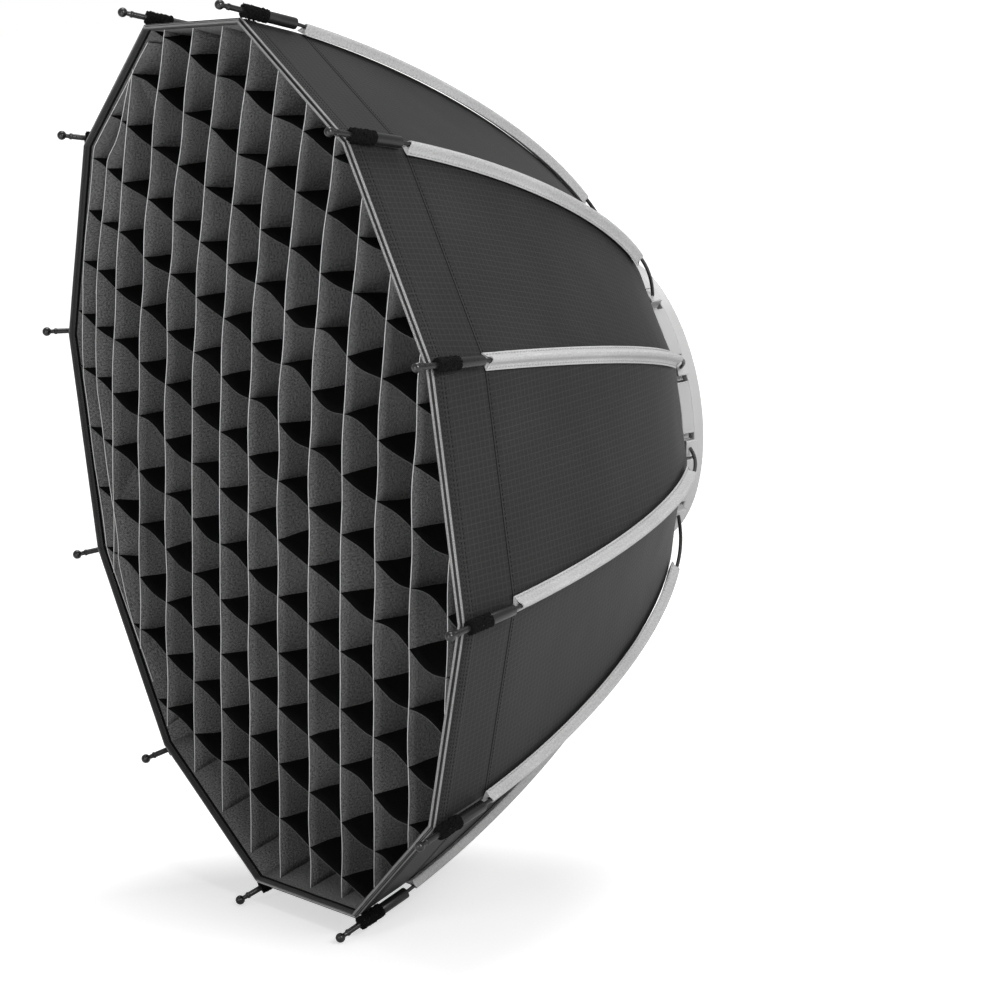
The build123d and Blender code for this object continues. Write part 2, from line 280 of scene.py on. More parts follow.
def lathe(profile, sides, start, direction):
    """(points, faces, uvs) of a turned shape; profile lists (radius, distance along)."""
    x, y, z = axes_along(direction)
    rows = []
    length = 0.0
    for n, (radius, along) in enumerate(profile):
        if n:
            length += hypot(radius - profile[n - 1][0], along - profile[n - 1][1])
        row = []
        for k in range(sides + 1):
            turn = 2 * pi * (k % sides) / sides
            p = start + z * along + (x * cos(turn) + y * sin(turn)) * radius
            row.append((p, (k / sides * 2 * pi * max(radius, 1e-4), length)))
        rows.append(row)
    return lattice(rows, closed=True)


def noisy(point, scale, seed=0.0):
    return noise.noise(Vector(point) * scale + Vector((seed, 1.7 * seed, -seed)))


def near(start, *steps):
    """A profile: steps in millimetres from a point given in metres."""
    return [(start[0] + a * MM, start[1] + b * MM) for a, b in steps]


def weld(piece):
    """Joins points that lie on each other, and keeps folds over 25 degrees crisp."""
    work = bmesh.new()
    work.from_mesh(piece.data)
    bmesh.ops.remove_doubles(work, verts=work.verts, dist=1e-6)
    work.to_mesh(piece.data)
    work.free()
    piece.data.set_sharp_from_angle(angle=radians(25))
    return piece


# of one stitch: (share of its length, share of its radius, radii sunk into the cloth)
thread_outline = ((-0.5, 0.35, 1.6), (-0.3, 1.0, 0.0), (0.3, 1.0, 0.0), (0.5, 0.35, 1.6))


def stitches(path, normals, length=2.2 * MM, pitch=3.1 * MM, radius=0.22 * MM, lift=0.1 * MM):
    """(points, faces, uvs) of a row of thread stitches along a line of points."""
    parts = []
    walked, next_start = 0.0, pitch / 2
    for n in range(len(path) - 1):
        a, b = path[n], path[n + 1]
        span = (b - a).length
        if span < 1e-9:
            continue
        along = (b - a) / span
        while next_start < walked + span:
            at = a + along * (next_start - walked)
            up = normals[n]
            side = along.cross(up).normalized()
            rings = []
            for share, size, sink in thread_outline:
                centre = at + along * (share * length) + up * (lift - sink * radius)
                rings.append([(centre + (side * cos(w) + up * sin(w)) * radius * size, (w, share))
                              for w in (0, pi / 2, pi, 3 * pi / 2, 2 * pi)])
            parts.append(lattice(rings, closed=True))
            next_start += pitch
        walked += span
    return joined(parts)


def tube(path, radius, sides=6):
    """(points, faces, uvs) of a thin thread along a list of points."""
    rows = []
    length = 0.0
    for n, here in enumerate(path):
        along = (path[min(n + 1, len(path) - 1)] - path[max(n - 1, 0)]).normalized()
        if n:
            length += (here - path[n - 1]).length
        x = along.cross(Vector((0, 1, 0))).normalized()
        y = along.cross(x)
        rows.append([(here + (x * cos(w) + y * sin(w)) * radius, (w * radius, length))
                     for w in (2 * pi * k / sides for k in range(sides + 1))])
    return lattice(rows, closed=True)


# ---------------- node materials
def add(tree, kind, values=None, **settings):
    """A node with its settings, and its sockets set to numbers or joined to other sockets."""
    made = tree.nodes.new("ShaderNode" + kind)
    for key, value in settings.items():
        setattr(made, key, value)
    for key, value in (values or {}).items():
        if isinstance(value, bpy.types.NodeSocket):
            tree.links.new(value, made.inputs[key])
        else:
            made.inputs[key].default_value = value
    return made


def calc(tree, operation, *values):
    return add(tree, "Math", dict(enumerate(values)), operation=operation).outputs[0]


def principled(name, **values):
    """A material and its Principled shader, with constants set on the shader itself."""
    made = bpy.data.materials.new(name)
    made.use_nodes = True
    shader = made.node_tree.nodes["Principled BSDF"]
    for key, value in values.items():
        shader.inputs[key.replace("_", " ")].default_value = value
    return made, made.node_tree, shader


def grey(value):
    return (value, value, value, 1)


def wire_bump(tree, shader, height, strength, distance):
    bump = add(tree, "Bump", {"Strength": strength, "Distance": distance, "Height": height})
    tree.links.new(bump.outputs[0], shader.inputs["Normal"])


def cloth_axes(tree):
    uv = add(tree, "UVMap", uv_map="cloth")
    axes = add(tree, "SeparateXYZ", {0: uv.outputs[0]})
    return uv.outputs[0], axes.outputs[0], axes.outputs[1]


def weave_height(tree, u, v, pitch):
    """Plain weave: threads over and under each other, 0 to 1."""
    across_it = calc(tree, "SINE", calc(tree, "MULTIPLY", u, pi / pitch))
    along_it = calc(tree, "SINE", calc(tree, "MULTIPLY", v, pi / pitch))
    product = calc(tree, "MULTIPLY", across_it, along_it)
    return calc(tree, "MULTIPLY_ADD", product, 0.5, 0.5)


def speckle(tree, uv, scale, low, high, detail=2.0):
    """Noise remapped to low..high."""
    grain = add(tree, "TexNoise", {"Vector": uv, "Scale": scale, "Detail": detail})
    ranged = add(tree, "MapRange", {0: grain.outputs[0], 1: 0.3, 2: 0.7, 3: low, 4: high})
    return ranged.outputs[0]


def tint(tree, shader, shade, factor):
    """Gives a shader this grey, multiplied by a factor that varies over the surface."""
    tinted = add(tree, "VectorMath", {0: grey(shade)[:3], 1: factor}, operation="MULTIPLY")
    tree.links.new(tinted.outputs[0], shader.inputs["Base Color"])


def ripstop(name, shade, pitch=4.2 * MM, line=0.5 * MM, sheen=0.01):
    """Thin nylon with a raised square grid of stronger threads."""
    made, tree, shader = principled(name, Roughness=0.5, Sheen_Weight=sheen, Sheen_Roughness=0.35,
                                    Specular_IOR_Level=0.1)
    uv, u, v = cloth_axes(tree)
    lines = []
    for axis in (u, v):
        away = calc(tree, "PINGPONG", axis, pitch / 2)
        lines.append(add(tree, "MapRange", {0: away, 1: 0.0, 2: line, 3: 1.0, 4: 0.0}).outputs[0])
    grid_line = calc(tree, "MAXIMUM", *lines)
    weave = weave_height(tree, u, v, 0.36 * MM)
    patch = speckle(tree, uv, 9.0, 0.86, 1.14)
    fine = speckle(tree, uv, 700.0, 0.86, 1.14)
    light = calc(tree, "MULTIPLY_ADD", grid_line, 0.5, 0.86)
    factor = calc(tree, "MULTIPLY", calc(tree, "MULTIPLY", patch, fine), light)
    tint(tree, shader, shade, factor)
    rough = calc(tree, "MULTIPLY_ADD", patch, 0.12, 0.38)
    tree.links.new(rough, shader.inputs["Roughness"])
    height = calc(tree, "MULTIPLY_ADD", weave, 0.25, grid_line)
    wire_bump(tree, shader, height, 0.45, 0.12 * MM)
    return made


def woven(name, shade, pitch=0.5 * MM, contrast=0.25, roughness=0.8, sheen=0.3, patchy=0.1, bump=0.5,
          grain_scale=1100.0, see_through=0.0):
    """Plain woven cloth with visible grain, and painted shade where the weave sits low."""
    made, tree, shader = principled(name, Roughness=roughness, Sheen_Weight=sheen, Sheen_Roughness=0.45,
                                    Specular_IOR_Level=0.06)
    uv, u, v = cloth_axes(tree)
    weave = weave_height(tree, u, v, pitch)
    grain = speckle(tree, uv, grain_scale, 1 - contrast, 1 + contrast, 3.0)
    patch = speckle(tree, uv, 14.0, 1 - patchy, 1 + patchy)
    # painted shade: the colour darkens where the weave sits low between the threads
    weave_dip_shade = calc(tree, "MULTIPLY_ADD", weave, contrast, 1 - contrast / 2)
    factor = calc(tree, "MULTIPLY", calc(tree, "MULTIPLY", grain, patch), weave_dip_shade)
    tint(tree, shader, shade, factor)
    tree.links.new(calc(tree, "MULTIPLY_ADD", grain, 0.12, roughness - 0.12), shader.inputs["Roughness"])
    height = calc(tree, "MULTIPLY_ADD", grain, 0.6, weave)
    wire_bump(tree, shader, height, bump, 0.12 * MM)
    if see_through:
        glow = add(tree, "BsdfTranslucent", {"Color": grey(shade)})
        both = add(tree, "MixShader", {0: see_through, 1: shader.outputs[0], 2: glow.outputs[0]})
        tree.links.new(both.outputs[0], tree.nodes["Material Output"].inputs[0])
    return made


def fuzzy(name, shade):
    """Hook-and-loop tape: matte, with tangled loops."""
    made, tree, shader = principled(name, Roughness=0.95, Sheen_Weight=0.015, Sheen_Roughness=0.6,
                                    Specular_IOR_Level=0.02)
    place = add(tree, "TexCoord").outputs["Object"]
    loops = add(tree, "TexVoronoi", {"Vector": place, "Scale": 1300.0}, feature="DISTANCE_TO_EDGE")
    curls = speckle(tree, place, 900.0, 0.35, 1.8, 4.0)
    tint(tree, shader, shade, curls)
    wire_bump(tree, shader, calc(tree, "ADD", loops.outputs[0], curls), 0.9, 0.3 * MM)
    return made


def hard(name, shade, metallic=0.0, roughness=0.4, grain_scale=500.0, grain=0.08, wear=0.05, bump=0.15,
         specular=0.5, ring=0.0):
    """Painted, moulded or machined stuff: fine grain, faint handling marks and, with ring, lathe lines."""
    made, tree, shader = principled(name, Metallic=metallic, Specular_IOR_Level=specular)
    place = add(tree, "TexCoord").outputs["Object"]
    marks = speckle(tree, place, 38.0, 1 - wear, 1 + wear, 6.0)
    fine = speckle(tree, place, grain_scale, -grain, grain)
    smear = speckle(tree, place, 22.0, -0.5 * wear, wear, 5.0)
    rough = calc(tree, "ADD", calc(tree, "ADD", fine, smear), roughness)
    tree.links.new(rough, shader.inputs["Roughness"])
    tint(tree, shader, shade, marks)
    height = fine
    if ring:
        axes = add(tree, "SeparateXYZ", {0: place})
        squares = [calc(tree, "POWER", axes.outputs[k], 2.0) for k in (0, 2)]
        radius = calc(tree, "SQRT", calc(tree, "ADD", *squares))
        turned_lines = calc(tree, "SINE", calc(tree, "MULTIPLY", radius, 2 * pi / ring))
        height = calc(tree, "MULTIPLY_ADD", turned_lines, 0.08, fine)
    wire_bump(tree, shader, height, bump, 0.2 * MM)
    return made


looks = {
    "ring_metal": hard("machined_aluminium", 0.60, 1.0, 0.34, 900, 0.06, 0.06, 0.25, ring=0.5 * MM),
    "hub_grey": hard("hub_paint", 0.44, 0.0, 0.42, 1400, 0.06, 0.03, 0.25),
    "plate_grey": hard("plate_plastic", 0.41, 0.0, 0.46, 1100, 0.07, 0.03, 0.3),
    "knuckle_grey": hard("knuckle_plastic", 0.45, 0.0, 0.44, 900, 0.07, 0.04, 0.3),
    "clamp_black": hard("clamp_plastic", 0.03, 0.0, 0.55, 700, 0.08, 0.1, 0.3),
    "pin_steel": hard("pin_steel", 0.5, 1.0, 0.3, 1800, 0.08, 0.08, 0.2),
    "rod_black": hard("rod_black_oxide", 0.018, 0.3, 0.35, 1500, 0.06, 0.15, 0.15),
    "tip_black": hard("tip_black_gloss", 0.008, 0.0, 0.3, 900, 0.03, 0.15, 0.06),
    "ball_gloss": hard("ball_black_gloss", 0.01, 0.0, 0.26, 900, 0.03, 0.1, 0.05),
    "cover_fabric": ripstop("black_ripstop", 0.026),
    "cover_lining": woven("silver_lining", 0.66, 0.5 * MM, 0.1, 0.42, 0.1, 0.05, 0.3),
    "hem_binding": woven("grey_binding", 0.05, 0.9 * MM, 0.3, 0.75, 0.1, 0.12, 0.7),
    "bead_binding": woven("bead_binding", 0.24, 0.9 * MM, 0.35, 0.7, 0.15, 0.2, 0.8),
    "sleeve_fabric": woven("silver_tape", 0.42, 0.6 * MM, 0.16, 0.6, 0.1, 0.1, 0.6, 700.0),
    "sleeve_thread": woven("sleeve_thread", 0.24, 0.4 * MM, 0.2, 0.7, 0.1, 0.1, 0.6),
    "grid_fabric": woven("grid_cloth", 0.125, 0.7 * MM, 0.6, 0.85, 0.03, 0.18, 0.8, 760.0),
    # cross strips: the same cloth as the long strips, but near-black, which is painted shade for faces the
    # light barely reaches
    "cross_fabric": woven("grid_cross_cloth", 0.005, 0.7 * MM, 0.35, 0.9, 0.0, 0.1, 0.5, 620.0),
    "pale_thread": woven("pale_thread", 0.82, 0.5 * MM, 0.15, 0.6, 0.2, 0.1, 0.6),
    "dark_thread": woven("dark_thread", 0.005, 0.5 * MM, 0.2, 0.8, 0.01, 0.1, 0.6),
    "diffuser_fabric": woven("white_diffusion", 0.80, 0.6 * MM, 0.06, 0.75, 0.1, 0.03, 0.3,
                             see_through=0.35),
    "strap_elastic": woven("strap_elastic", 0.03, 0.8 * MM, 0.35, 0.8, 0.2, 0.1, 0.8),
    "hook_loop": fuzzy("hook_and_loop", 0.005),
}

# ---------------- CAD nodes that stay
node_looks = {"bayonet_ring": "ring_metal", "hub_rear_ring": "hub_grey", "hub_core": "hub_grey",
              "hub_plates": "plate_grey", "cover_clamp_ring": "clamp_black", "knuckle_pins": "pin_steel",
              "hub_screws": "pin_steel"}
for n in range(rib_count):
    node_looks[f"rib_{n + 1:02d}_knuckle"] = "knuckle_grey"
    node_looks[f"rib_{n + 1:02d}_rod"] = "rod_black"
for node, look in node_looks.items():
    part = frame["nodes"][node]
    part.data.materials.clear()
    part.data.materials.append(looks[look])

# ---------------- folding of the cloth
def make_fold_rig():
    """Bones that copy the bodies, so that cloth between the ribs follows both neighbours."""
    bones = bpy.data.armatures.new("fold_rig")
    rig = bpy.data.objects.new("fold_rig", bones)
    show(rig)
    bpy.context.view_layer.objects.active = rig
    bpy.ops.object.mode_set(mode="EDIT")
    for body in frame["bodies"]:
        bone = bones.edit_bones.new(body)
        bone.head = (0, 0, 0)
        bone.tail = (0, 0.1, 0)
        bone.roll = 0
    bpy.ops.object.mode_set(mode="OBJECT")
    for body, empty in frame["bodies"].items():
        follow = rig.pose.bones[body].constraints.new("COPY_TRANSFORMS")
        follow.target = empty
    rig.hide_render = True
    return rig


fold_rig = make_fold_rig()
rib_bodies = [f"rib_{n + 1:02d}" for n in range(rib_count)]
held_radius, free_radius = 99 * MM, 113 * MM


def sector(point):
    """(rib before, rib after, share of the way between them) of a point."""
    turn = (atan2(point.z, point.x) - rib_angles[0]) / (2 * half_step)
    n = floor(turn)
    off = (turn - n - 0.5) * 2 * half_step
    return n % rib_count, (n + 1) % rib_count, 0.5 + tan(off) / (2 * tan(half_step))


def mix(a, b, share):
    return a + (b - a) * share


def smooth_share(value, low, high):
    share = min(1.0, max(0.0, (value - low) / (high - low)))
    return share * share * (3 - 2 * share)


def cover_weights(point):
    """The rear edge stays on the hub, and the rest goes with the two nearest ribs."""
    a, b, share = sector(point)
    free = smooth_share(hypot(point.x, point.z), held_radius, free_radius)
    return [("hub", 1 - free), (rib_bodies[a], free * (1 - share)), (rib_bodies[b], free * share)]


def hung_weights(point):
    """What hangs inside follows the nearest ribs at its rim and all of them in the middle."""
    a, b, share = sector(point)
    forward = knuckle_y - point.y
    off = (share - 0.5) * 2 * tan(half_step)
    apothem = hypot(point.x, point.z) / hypot(1, off)
    rim = corner_radius(forward, cover_drop) * cos(half_step)
    near = min(1.0, apothem / (0.94 * rim))
    weights = {body: (1 - near) / rib_count for body in rib_bodies}
    weights[rib_bodies[a]] += near * (1 - share)
    weights[rib_bodies[b]] += near * share
    return list(weights.items())


def fold_with(piece, weights):
    """Rides on the hub and folds with the ribs."""
    groups = {body: piece.vertex_groups.new(name=body) for body in frame["bodies"]}
    for vertex in piece.data.vertices:
        for body, weight in weights(vertex.co):
            if weight > 1e-4:
                groups[body].add([vertex.index], weight, "REPLACE")
    modifier = piece.modifiers.new("fold", "ARMATURE")
    modifier.object = fold_rig
    modifier.use_deform_preserve_volume = False
    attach(piece, "hub")


# ---------------- cover
cover_length = distance_at(mouth_forward - 1.5 * MM, cover_drop)
flat_start = Vector((88 * MM, on_rib(0, cover_drop)[0].y))
pucker_reach = 10 * MM


def cover_rows():
    """(corner radius, forward, distance) down the cover, from its rear edge to the mouth."""
    rows = []
    first = on_rib(0, cover_drop)[0]
    flat_length = first.x - flat_start.x
    flat_count, bow_count = 8, 92
    for n in range(flat_count):
        walked = flat_length * n / flat_count
        rows.append((flat_start.x + walked, flat_start.y, walked))
    for n in range(bow_count + 1):
        share = n / bow_count
        distance = cover_length * (0.35 * share * share + 0.65 * share)
        point = on_rib(distance, cover_drop)[0]
        rows.append((point.x, point.y, flat_length + distance))
    return rows


def gores(rows, columns=10, shift=None):
    """Twelve panels round the box, from rows of (corner radius, forward, distance).  shift says how far out
    a point moves, from its panel, share of the way across, width of the panel, distance and place."""
    parts = []
    for n in range(rib_count):
        panel = []
        for radius, forward, walked in rows:
            chord = 2 * radius * sin(half_step)
            line = []
            for c in range(columns + 1):
                share = c / columns
                point = across(radius, forward, n + share)
                if shift:
                    point = across(radius, forward, n + share, shift(n, share, chord, walked, point))
                line.append((point, ((share - 0.5) * chord, walked)))
            panel.append(line)
        parts.append(lattice(panel))
    return joined(parts)


def cover_surface():
    """The cover, which sags and ripples a little between the ribs."""
    rows = cover_rows()
    total = rows[-1][2]

    def shift(n, share, chord, walked, point):
        free = smooth_share(walked, 22 * MM, 70 * MM) * smooth_share(total - walked, 52 * MM, 110 * MM)
        slack = 4 * share * (1 - share)
        side = min(share, 1 - share) * chord
        ripple = sin(2 * pi * walked / (15 * MM) + 9 * noisy((n, walked * 22, 0), 1.0))
        pucker = 0.3 * MM * ripple * exp(-side / pucker_reach) * min(1, side / (3 * MM))
        waves = 0.9 * MM * noisy(point, 13.0) + 0.35 * MM * noisy(point, 41.0, 5.0)
        return (pucker - 2.4 * MM * slack + waves * slack) * free

    return gores(rows, 18, shift)


def cloth_area(shape):
    """Area of (points, faces, uvs)."""
    points, faces, uvs = shape
    total = 0.0
    for face in faces:
        corner = [points[i] for i in face]
        for k in range(1, len(corner) - 1):
            total += (corner[k] - corner[0]).cross(corner[k + 1] - corner[0]).length / 2
    return total


def make_cover():
    """The cover, its (widest, longest) when flat, and its area."""
    shape = cover_surface()
    piece = folding("cover", shape, "cover_fabric", cover_weights, "cover", "cover_fabric",
                    thick=cloth_thickness, side=-1.0, lining="cover_lining")
    mouth_radius, length = cover_rows()[-1][::2]
    return piece, (rib_count * 2 * mouth_radius * sin(half_step), length), cloth_area(shape)


def ring_of(profile, columns=10, jitter=0.0):
    """A closed band round the mouth; profile lists (forward, inset) and is swept along each of the sides."""
    rows = []
    walked = 0.0
    for forward, inset in profile:
        radius = corner_radius(forward, inset)
        if rows:
            walked += hypot(radius - rows[-1][0], forward - rows[-1][1])
        rows.append((radius, forward, walked))

    def shift(n, share, chord, walked, point):
        return jitter * noisy(point, 30.0) * min(1, 6 * share, 6 * (1 - share))

    return gores(rows, columns, shift)


def ring_line(forward, inset, lift=0.0, columns=24):
    """Points and outward normals of a line round the mouth."""
    radius = corner_radius(forward, inset)
    here, direction = on_rib(distance_at(forward, inset), inset)
    out = -inward(direction)
    points, normals = [], []
    for n in range(rib_count):
        middle = rib_angles[n] + half_step
        for c in range(columns):
            points.append(across(radius, forward, n + c / columns))
            normals.append(Vector((out.x * cos(middle), -out.y, out.x * sin(middle))).normalized())
    points.append(points[0])
    normals.append(normals[0])
    return [p + q * lift for p, q in zip(points, normals)], normals


def folding(name, shape, look, weights, node=None, slot_name="hem_binding", welded=True,
            thick=0.0, side=0.0, lining=None):
    """A piece of cloth that folds with the ribs.  side says where its thickness goes, as in solidify."""
    piece = new_piece(name, *shape, materials=[looks[key] for key in (look, lining) if key])
    if welded:
        weld(piece)
    if thick:
        solidify(piece, thick, side, 1 if lining else 0)
    if node:
        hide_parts(node)
    fold_with(piece, weights)
    return piece


def round_profile(forward, inset, radius, start, end, steps=8):
    """Arc of a bead: start and end in degrees, 0 forward and 90 outward."""
    found = []
    for n in range(steps + 1):
        turn = radians(start + (end - start) * n / steps)
        found.append((forward + radius * cos(turn), inset - radius * sin(turn)))
    return found


def make_hem():
    """Binding sewn round the mouth, with its rolled edge and its rows of stitches."""
    rear = mouth_forward - hem_width
    bead = 1.2 * MM
    outer = cover_drop - 0.45 * MM
    front = mouth_forward - 3.4 * MM
    inner = outer + 2 * bead
    band = near((rear, outer), (0, 0.5), (-0.4, 0.2), (0, -0.02), (1, 0))
    band += near((front, outer), (-3.4, 0), (-2.6, 0.25))
    band += near((front, inner), (-1.6, -0.05), (-2.6, -0.25), (-3.4, 0))
    band += near((rear, inner), (1, 0), (0, -0.3)) + band[:1]
    binding = ring_of(band, jitter=0.25 * MM)
    roll = ring_of(round_profile(front, outer + bead, bead + 0.12 * MM, 125, -125, 12), jitter=0.25 * MM)
    sewn = joined([stitches(*ring_line(forward, outer))
                   for forward in (rear + 2 * MM, rear + 4.6 * MM, front - 3.6 * MM)])
    return [folding("mouth_binding", binding, "cover_fabric", cover_weights, "rim_hem"),
            folding("mouth_bead", roll, "bead_binding", cover_weights, "rim_hem"),
            folding("mouth_stitches", sewn, "dark_thread", cover_weights, welded=False)]


def make_seam():
    """Felled seam that runs round the cover behind the mouth."""
    at = (seam_forward, cover_drop)
    welt = near(at, (-4.5, 0.1), (-3.06, -0.12), (-0.9, -0.16), (-0.18, -0.12), (0, 0.3))
    cord = near(at, (-0.05, -0.02), (0.25, -0.14), (0.55, -0.02))
    sewn = stitches(*ring_line(seam_forward - 1.71 * MM, cover_drop, 0.2 * MM), radius=0.17 * MM)
    return [folding(name, shape, look, cover_weights, slot_name="cover_fabric", welded=welded)
            for name, shape, look, welded in (("cover_welt", ring_of(welt, 18), "cover_fabric", True),
                                              ("cover_seam", ring_of(cord, 18), "dark_thread", True),
                                              ("cover_stitches", sewn, "dark_thread", False))]


# ---------------- grid
grid_axis_long = Vector((sin(grid_turn), 0, cos(grid_turn)))
grid_axis_cross = Vector((cos(grid_turn), 0, -sin(grid_turn)))


def polygon_reach(centre, direction, apothem):
    """Distances along a line, both ways, to the sides of a twelve-sided outline."""
    low, high = -10.0, 10.0
    for n in range(rib_count):
        middle = rib_angles[n] + half_step
        side = Vector((cos(middle), 0, sin(middle)))
        speed, room = direction.dot(side), apothem - centre.dot(side)
        if abs(speed) < 1e-9:
            continue
        if speed > 0:
            high = min(high, room / speed)
        else:
            low = max(low, room / speed)
    return low, high


def height_share(point, apothem):
    """0 at and below the middle of the mouth, 1 at its top."""
    return max(0.0, point.z / apothem)


def border_reach(forward):
    """How far out the flat sides of the border stand, at a depth."""
    return corner_radius(forward, grid_inset + 0.4 * MM) * cos(half_step)


def fall_back(point, apothem):
    """How far the front edges stand behind their middle at a point."""
    share = min(1.0, hypot(point.x, point.z) / apothem)
    uneven = (0.5 + 0.5 * point.x / apothem) * (1 - crown_top_loss * height_share(point, apothem))
    return grid_crown * uneven * share ** crown_power


def strip_wave(at, offset, pitch, phase_pitch, phase_offset, size, seed):
    """Sideways swing of a strip: it bows one way in a cell and the other way in the next."""
    turns = (at - phase_offset) / phase_pitch
    lean_way = noisy((at * 5.5, offset * 9, seed), 1.0)
    row_sign = 1 if round((offset - phase_offset) / pitch) % 2 else -1
    return size * sin(pi * turns) * (0.55 + 1.3 * lean_way) * row_sign


def aside(point, apothem, bend):
    """How far a strip stands aside from its straight line at a point."""
    return bend * height_share(point, apothem) ** bend_power


def strip_ends(offset, along, beside, forward, apothem, inner, bend):
    """Where a strip meets the border at a depth: the reach of each end along the strip."""
    ends = list(polygon_reach(beside * (offset + inner), along, apothem))
    for k in (0, 1, 0, 1, 0, 1):
        end = beside * offset + along * ends[k]
        back = fall_back(end, apothem) if forward == grid_front else 0.0
        inside = beside * (offset + inner + aside(end, apothem, bend))
        ends[k] = polygon_reach(inside, along, border_reach(forward - back))[k]
    return ends


def strip_rows(offset, along, beside, swing, gap, inner, bend, levels=7, step=6 * MM):
    """Rows of a strip from its front edge to its rear edge.  With a gap, an outermost strip that follows
    the border at this distance from it; its ends are those of a line that lies inner further in."""
    rows = []
    depths = (grid_front, grid_rear)
    apothems = [border_reach(forward) for forward in depths]
    offsets = [copysign(min(abs(offset), a - (gap or 4 * MM)), offset) for a in apothems]
    ends = [strip_ends(o, along, beside, forward, a, inner, bend)
            for o, forward, a in zip(offsets, depths, apothems)]
    count = max(8, int((ends[0][1] - ends[0][0]) / step))
    for level in range(levels):
        depth = level / (levels - 1)
        low, high = (mix(front, rear, depth) for front, rear in zip(*ends))
        apothem, straight = mix(*apothems, depth), mix(*offsets, depth)
        row = []
        for k in range(count + 1):
            at = low + (high - low) * k / count
            hold = smooth_share(min(at - low, high - at), 0, 22 * MM)
            side = swing(at, depth) * hold
            middle = straight
            if gap:
                away = mix(end_gap, gap, smooth_share(min(at - low, high - at), 0, 70 * MM))
                middle = max(middle, polygon_reach(along * at, beside, apothem)[0] + away)
            point = along * at + beside * (middle + side)
            point += beside * aside(point, apothems[0], bend)
            front = grid_front - fall_back(point, apothems[0])
            point.y = knuckle_y - (front + (grid_rear - front) * depth)
            row.append((point, (at, depth * (grid_front - grid_rear))))
        rows.append(row)
    return rows


# the two families of strips, long ones first: pitch, place of the first, directions along and beside,
# size of their waves, how far they bend, radius of their edge thread, and (gap, inner) of outermost strips
grid_families = (
    (long_pitch, long_offset, grid_axis_long, grid_axis_cross, 1.5 * MM, grid_bend, 0.27 * MM,
     ((28 * MM, 70 * MM), (3 * MM, 120 * MM))),
    (cross_pitch, cross_offset, grid_axis_cross, grid_axis_long, 4.2 * MM, 0.0, 0.2 * MM, ()))


def make_grid():
    """Crossed strips of cloth with thread on their front edges, inside a border with a rolled edge."""
    reach = corner_radius(grid_front, grid_inset)
    strips, threads = ([], []), ([], [])
    for family, (pitch, first, along, beside, size, bent, thread, outermost) in enumerate(grid_families):
        other_pitch, other_first = grid_families[1 - family][:2]
        count = int(reach / pitch) + 1
        places = [(first + n * pitch, 0.0, 0.0, bent) for n in range(-count, count + 1)
                  if abs(first + n * pitch) < 0.9 * reach]
        places += [(-reach, gap, inner, 0.0) for gap, inner in outermost]
        for offset, gap, inner, bend in places:

            def swing(at, depth, offset=offset):
                front, rear = (strip_wave(at, offset, pitch, other_pitch, other_first, size, seed + family)
                               for seed in (3.0, 11.0))
                drift = 0.8 * MM * noisy((at * 3, offset * 5, depth * 0.6), 4.0, 20.0 + family)
                twist = 7.0 * MM * noisy((at * 11, offset * 13, 0.3), 1.0, 41.0 + family)
                billow = 3.0 * MM * noisy((at * 16, offset * 11, 0.7), 1.0, 63.0 + family)
                fan = grid_fan * max(0.0, offset / reach) ** 1.5
                sway = billow * 4 * depth * (1 - depth) + (twist - fan) * depth
                return front * (1 - depth) + rear * depth * 0.8 + drift + sway

            rows = strip_rows(offset, along, beside, swing, gap, inner, bend)
            strips[family].append(lattice(rows))
            threads[family].append(tube([p + Vector((0, -0.15 * MM, 0)) for p, uv in rows[0]], thread))
    bead = 1.1 * MM
    wall = grid_inset + 0.3 * MM
    roll_end, hooks_shadow_end = mouth_forward - 4.1 * MM, grid_front - 0.5 * MM
    bead_at = (mouth_forward - bead, grid_inset + 0.2 * MM, bead)
    edge = round_profile(*bead_at, 150, -20)
    roll = round_profile(*bead_at, -20, -110) + [(mouth_forward - 2.4 * MM, wall), (roll_end, wall)]
    border = [(hooks_shadow_end, wall)]
    border += [(grid_rear + (grid_front - grid_rear) * share, wall) for share in (0.66, 0.33, -0.08)]
    # band inside the rim: hook-and-loop tape, and its near-black colour is also painted shadow for the gap
    # between the rim and the grid border
    hooks_shadow_band = [(roll_end, wall), (hooks_shadow_end, wall)]
    rough = 0.3 * MM
    for name, shape, look, thick in (
            ("grid_long_strips", joined(strips[0]), "grid_fabric", strip_thickness),
            # the cross strips wear the painted-shade copy of the grid cloth
            ("grid_cross_strips", joined(strips[1]), "cross_fabric", strip_thickness),
            ("grid_border", ring_of(border), "grid_fabric", strip_thickness),
            ("grid_edge_thread", joined(threads[0]), "pale_thread", 0.0),
            ("grid_cross_thread", joined(threads[1]), "grid_fabric", 0.0),
            ("grid_border_bead", ring_of(edge, jitter=rough), "bead_binding", 0.0),
            ("grid_border_roll", ring_of(roll, jitter=rough), "hem_binding", 0.0),
            # this band is partly real tape and partly a painted shadow of the gap at the rim
            ("grid_border_hooks", ring_of(hooks_shadow_band, 40, rough), "hook_loop", 0.0)):
        folding(name, shape, look, hung_weights, "grid", "grid_fabric", False, thick)


# ---------------- diffusers
def round_sheet(corner, forward, rings=26, columns=6, slack=0.0, seed=0.0):
    """(points, faces, uvs) of a flat twelve-sided sheet with a little slack."""
    rows = []
    for ring in range(1, rings + 1):
        share = ring / rings
        row = []
        for k in range(rib_count * columns + 1):
            point = across(corner * share, forward, (k % (rib_count * columns)) / columns)
            point.y += slack * (0.5 + noisy(point, 9.0, seed)) * (1 - share ** 3)
            row.append((point, (point.x, point.z)))
        rows.append(row)
    points, faces, uvs = lattice(rows, closed=True)
    middle = list(range(rib_count * columns))
    faces.append(middle)
    uvs += [(points[i].x, points[i].z) for i in middle]
    return points, faces, uvs


